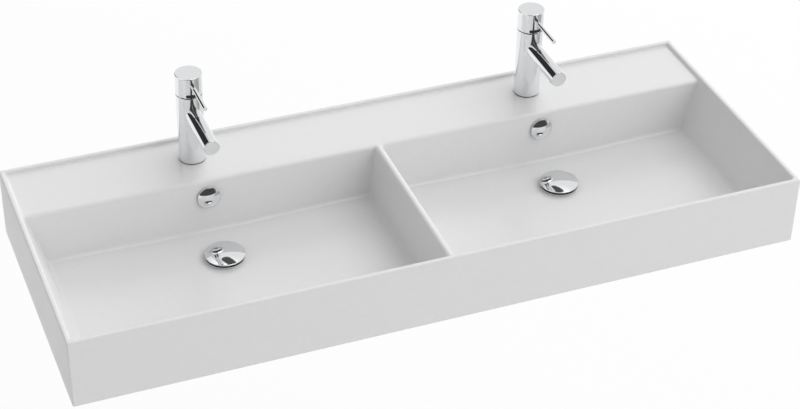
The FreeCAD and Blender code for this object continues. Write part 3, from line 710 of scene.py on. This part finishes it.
def makeHoneycombTree():
    tree, given, out = newTree("honeycombScreen", Radius="Float", Depth="Float", Pitch="Float", Wall="Float",
                               Rim="Float", Cell_Gap="Float", Count="Int", Centre="Vector", Finish="Material")
    rowGap = sum2(tree, "MULTIPLY", given["Pitch"], math.sqrt(3) / 2)
    steps = sum2(tree, "SUBTRACT", given["Count"], 1)
    rows = geometry(tree, "GeometryNodeMeshGrid", "Mesh", Size_X=sum2(tree, "MULTIPLY", given["Pitch"], steps),
                    Size_Y=sum2(tree, "MULTIPLY", rowGap, steps),
                    Vertices_X=given["Count"], Vertices_Y=given["Count"])
    place = tree.nodes.new("GeometryNodeInputPosition").outputs["Position"]
    split = addNode(tree, "ShaderNodeSeparateXYZ")
    plug(tree, split.inputs["Vector"], place)
    row = sum2(tree, "ROUND", sum2(tree, "DIVIDE", split.outputs["Y"], rowGap))
    odd = sum2(tree, "MODULO", sum2(tree, "ABSOLUTE", row), 2)
    aside = addNode(tree, "ShaderNodeCombineXYZ")
    plug(tree, aside.inputs["X"], sum2(tree, "MULTIPLY", odd, sum2(tree, "DIVIDE", given["Pitch"], 2)))
    rows = geometry(tree, "GeometryNodeSetPosition", "Geometry", Geometry=rows, Offset=aside.outputs["Vector"])
    away = addNode(tree, "ShaderNodeVectorMath", operation="LENGTH")
    plug(tree, away.inputs[0], tree.nodes.new("GeometryNodeInputPosition").outputs["Position"])
    cell = sum2(tree, "MULTIPLY", given["Pitch"], honeycomb["cellReach"])
    reach = sum2(tree, "SUBTRACT", given["Radius"], cell)
    outside = sum2(tree, "GREATER_THAN", away.outputs["Value"], sum2(tree, "SUBTRACT", reach, given["Rim"]))
    rows = geometry(tree, "GeometryNodeDeleteGeometry", "Geometry", Geometry=rows, Selection=outside)
    across = sum2(tree, "SUBTRACT", given["Pitch"], given["Wall"])
    inner = sum2(tree, "SUBTRACT", sum2(tree, "DIVIDE", across, 2), given["Cell Gap"])
    cellLine = geometry(tree, "GeometryNodeCurvePrimitiveCircle", "Curve", Resolution=6,
                        Radius=sum2(tree, "DIVIDE", inner, math.cos(math.pi / 6)))
    rimLine = geometry(tree, "GeometryNodeCurvePrimitiveCircle", "Curve", Resolution=honeycomb["rimSides"],
                       Radius=sum2(tree, "SUBTRACT", given["Radius"], sum2(tree, "DIVIDE", given["Rim"], 2)))
    walls = []
    for line, wall in ((cellLine, given["Wall"]), (rimLine, given["Rim"])):
        section = geometry(tree, "GeometryNodeCurvePrimitiveQuadrilateral", "Curve",
                           Width=wall, Height=given["Depth"])
        line = geometry(tree, "GeometryNodeSetCurveNormal", "Curve", {"mode": "Z_UP"}, Curve=line)
        walls.append(geometry(tree, "GeometryNodeCurveToMesh", "Mesh", Curve=line, Profile_Curve=section))
    cells = geometry(tree, "GeometryNodeInstanceOnPoints", "Instances", Points=rows, Instance=walls[0],
                     Rotation=(0, 0, math.pi / 6))
    joined = addNode(tree, "GeometryNodeJoinGeometry")
    for shape in (cells, walls[1]):
        tree.links.new(shape, joined.inputs["Geometry"])
    moved = geometry(tree, "GeometryNodeTransform", "Geometry", Geometry=joined.outputs["Geometry"],
                     Translation=given["Centre"])
    endTree(tree, moved, given["Finish"], out)
    return tree


honeycombTree = makeHoneycombTree()


def makeHoneycomb(side):
    node = side + "_aerator_screen"
    low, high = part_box(node)
    radius = (high[0] - low[0]) / 2
    mesh = growMesh(node, honeycombTree, Radius=radius, Depth=high[2] - low[2], Pitch=honeycomb["pitch"],
                    Wall=honeycomb["wall"], Rim=honeycomb["rim"], Cell_Gap=honeycomb["cellGap"],
                    Count=2 * math.ceil(radius / honeycomb["pitch"]) + honeycomb["spareRows"],
                    Centre=centreOf(node), Finish=skins["grey_plastic"])
    shape = bmesh.new()
    shape.from_mesh(mesh)
    bpy.data.meshes.remove(mesh)
    bmesh.ops.recalc_face_normals(shape, faces=shape.faces)
    return finishPiece(side + "Honeycomb", shape, node, "grey_plastic")


# seam shade strip: a thin dark band let into the front of each lever head, just above its lower edge; its black
# rubber is painted shade for the dark gap of the seam below the head
seamShadeStrip = {"halfAngle": 28.0, "low": 0.0006, "height": 0.0056, "proud": 0.00015, "sunk": 0.0004,
              "cornerRound": 0.0012, "edgeRound": 0.0001, "columns": 41, "sharpAngle": 40.0}


def makeSeamShadeStrip(side):
    s = seamShadeStrip
    low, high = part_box(side + "_lever_head")
    axis = centreOf(side + "_lever_head")
    radius = (high[0] - low[0]) / 2
    halfWidth = radius * math.radians(s["halfAngle"])
    middle = low[2] + s["low"] + s["height"] / 2
    edge = s["edgeRound"]
    shape = bmesh.new()
    rings = []
    for n in range(s["columns"]):
        along = -halfWidth * math.cos(math.pi * n / (s["columns"] - 1))  # closer together at the ends
        past = max(0.0, abs(along) - halfWidth + s["cornerRound"])
        half = s["height"] / 2 - s["cornerRound"] + math.sqrt(max(0.0, s["cornerRound"] ** 2 - past ** 2))
        outline = [(-half, -s["sunk"]), (-half, s["proud"] - edge), (edge - half, s["proud"]),
                   (half - edge, s["proud"]), (half, s["proud"] - edge), (half, -s["sunk"])]
        angle = along / radius
        rings.append([shape.verts.new((axis.x + (radius + out) * math.sin(angle),
                                       axis.y - (radius + out) * math.cos(angle), middle + up))
                      for up, out in outline])
    for ring, after in zip(rings, rings[1:]):
        for a, b, c, d in zip(ring, ring[1:] + ring[:1], after[1:] + after[:1], after):
            shape.faces.new((a, b, c, d))
    shape.faces.new(rings[0])
    shape.faces.new(rings[-1])
    settle(shape, s["sharpAngle"])
    return finishPiece(side + "SeamShadeStrip", shape, None, "black_rubber", body=side + "_lever")


for side in ("left", "right"):
    makeThreadedWaste(side)
    makeNuts(side + "LockNut", side + "_lock_nut", "brass", (0,))
    makeHoneycomb(side)
    # each lever head gets a dark strip of painted shade along the front of its seam
    makeSeamShadeStrip(side)
makeThreadedRods("fixingRods", "fixing_studs")
makeNuts("fixingNuts", "fixing_nuts", "brass", (-1, 1))
print("threads, nuts, screens and strips made")


# studio: a pale floor well below the hung basin, soft lamps along the right side and a white world
studio = {
    "floorLevel": -0.85,
    "floorSize": 16.0,
    "floorColour": (0.88, 0.88, 0.88),
    "floorRough": 0.9,
    "floorWhite": 0.85,     # how far the camera and mirrors see the floor as plain white
    "ambient": 0.5,
    "lampAim": (0, -0.2, 0),
    "lampDistance": 12.0,
    "lampSize": 9.6,
    "lamps": {
        "rightLamp": {"toward": (0.91, 0.0, 0.42), "power": 167.0},
        "rightBackLamp": {"toward": (0.45, 0.78, 0.42), "power": 726.0},
        "rightFrontLamp": {"toward": (0.45, -0.78, 0.42), "power": 368.0},
        "rightTopLamp": {"toward": (0.5, 0.0, 0.87), "power": 374.0},
    },
    "mirrorLight": 0.85,    # what polished metal and wet glaze mirror all round
    "mirrorCards": [        # bright and unlit parts of the room, seen only in mirror images
        {"toward": (0, 0, 1), "inner": 30.0, "outer": 45.0, "level": 1.1},
        {"toward": (0.3, -0.3, 0.9), "inner": 10.0, "outer": 22.0, "level": 5.5},
        {"toward": (-0.52, 0.753, 0.4), "inner": 23.5, "outer": 27.0, "level": 0.03},
        {"toward": (0, -1, 0.25), "inner": 45.0, "outer": 70.0, "level": 0.06},
        {"toward": (0.177, 0.557, 0.811), "inner": 4.0, "outer": 6.0, "level": 0.08},
        {"toward": (0.208, 0.502, 0.839), "inner": 4.5, "outer": 6.0, "level": 0.08},
        {"toward": (0.238, 0.446, 0.862), "inner": 4.0, "outer": 6.0, "level": 0.08},
    ],
}


def raysThatSee(tree):
    link = tree.links.new
    path = tree.nodes.new("ShaderNodeLightPath")
    mirror = addNode(tree, "ShaderNodeMath", operation="MAXIMUM")
    link(path.outputs["Is Glossy Ray"], mirror.inputs[0])
    link(path.outputs["Is Transmission Ray"], mirror.inputs[1])
    return path.outputs["Is Camera Ray"], mirror.outputs["Value"]


def makeFloor():
    half = studio["floorSize"] / 2
    level = studio["floorLevel"]
    mesh = bpy.data.meshes.new("floor")
    mesh.from_pydata([(-half, -half, level), (half, -half, level), (half, half, level), (-half, half, level)],
                     [], [(0, 1, 2, 3)])
    floor = bpy.data.objects.new("floor", mesh)
    scene.collection.objects.link(floor)
    material, tree, skin = newMaterial("paleFloor")
    setInputs(skin, Base_Color=(*studio["floorColour"], 1.0), Roughness=studio["floorRough"])
    link = tree.links.new
    camera, mirror = raysThatSee(tree)
    seen = addNode(tree, "ShaderNodeMath", operation="MAXIMUM")
    share = addNode(tree, "ShaderNodeMath", operation="MULTIPLY")
    share.inputs[1].default_value = studio["floorWhite"]
    white = setInputs(tree.nodes.new("ShaderNodeEmission"), Strength=1.0)
    lit = tree.nodes.new("ShaderNodeMixShader")
    clear = tree.nodes.new("ShaderNodeBsdfTransparent")
    side = tree.nodes.new("ShaderNodeNewGeometry")
    both = tree.nodes.new("ShaderNodeMixShader")
    link(camera, seen.inputs[0])
    link(mirror, seen.inputs[1])
    link(seen.outputs["Value"], share.inputs[0])
    link(share.outputs["Value"], lit.inputs["Fac"])
    link(skin.outputs["BSDF"], lit.inputs[1])
    link(white.outputs["Emission"], lit.inputs[2])
    link(side.outputs["Backfacing"], both.inputs["Fac"])  # seen through from below
    link(lit.outputs["Shader"], both.inputs[1])
    link(clear.outputs["BSDF"], both.inputs[2])
    link(both.outputs["Shader"], tree.nodes["Material Output"].inputs["Surface"])
    mesh.materials.append(material)


def makeLamp(name, lamp):
    light = bpy.data.lights.new(name, "AREA")
    light.shape = "SQUARE"
    light.size = studio["lampSize"]
    light.energy = lamp["power"]
    holder = bpy.data.objects.new(name, light)
    toward = Vector(lamp["toward"]).normalized()
    holder.location = Vector(studio["lampAim"]) + toward * studio["lampDistance"]
    holder.rotation_euler = (-toward).to_track_quat("-Z", "Y").to_euler()
    holder.visible_glossy = False  # metal sees the mirror cards instead
    scene.collection.objects.link(holder)


def makeWorld():
    world = bpy.data.worlds.new("studioWorld")
    scene.world = world
    world.use_nodes = True
    tree = world.node_tree
    link = tree.links.new
    soft = setInputs(tree.nodes["Background"], Color=(1, 1, 1, 1), Strength=studio["ambient"])
    place = tree.nodes.new("ShaderNodeTexCoord")
    level = None
    for card in studio["mirrorCards"]:
        angle = addNode(tree, "ShaderNodeVectorMath", operation="DOT_PRODUCT")
        angle.inputs[1].default_value = Vector(card["toward"]).normalized()
        inside = addNode(tree, "ShaderNodeMapRange", interpolation_type="SMOOTHSTEP")
        setInputs(inside, From_Min=math.cos(math.radians(card["outer"])),
                  From_Max=math.cos(math.radians(card["inner"])))
        shade = addNode(tree, "ShaderNodeMix", data_type="FLOAT")
        setInputs(shade, A=studio["mirrorLight"], B=card["level"])
        link(place.outputs["Generated"], angle.inputs[0])
        link(angle.outputs["Value"], inside.inputs["Value"])
        link(inside.outputs["Result"], shade.inputs["Factor"])
        if level:
            link(level, shade.inputs["A"])
        level = shade.outputs["Result"]
    room = setInputs(tree.nodes.new("ShaderNodeBackground"), Color=(1, 1, 1, 1))
    link(level, room.inputs["Strength"])
    white = setInputs(tree.nodes.new("ShaderNodeBackground"), Color=(1, 1, 1, 1), Strength=1.0)
    camera, mirror = raysThatSee(tree)
    inMirror = tree.nodes.new("ShaderNodeMixShader")
    inView = tree.nodes.new("ShaderNodeMixShader")
    link(mirror, inMirror.inputs["Fac"])
    link(soft.outputs["Background"], inMirror.inputs[1])
    link(room.outputs["Background"], inMirror.inputs[2])
    link(camera, inView.inputs["Fac"])
    link(inMirror.outputs["Shader"], inView.inputs[1])
    link(white.outputs["Background"], inView.inputs[2])
    link(inView.outputs["Shader"], tree.nodes["World Output"].inputs["Surface"])


makeFloor()
for lampName, lamp in studio["lamps"].items():
    makeLamp(lampName, lamp)
makeWorld()
print("studio lit")
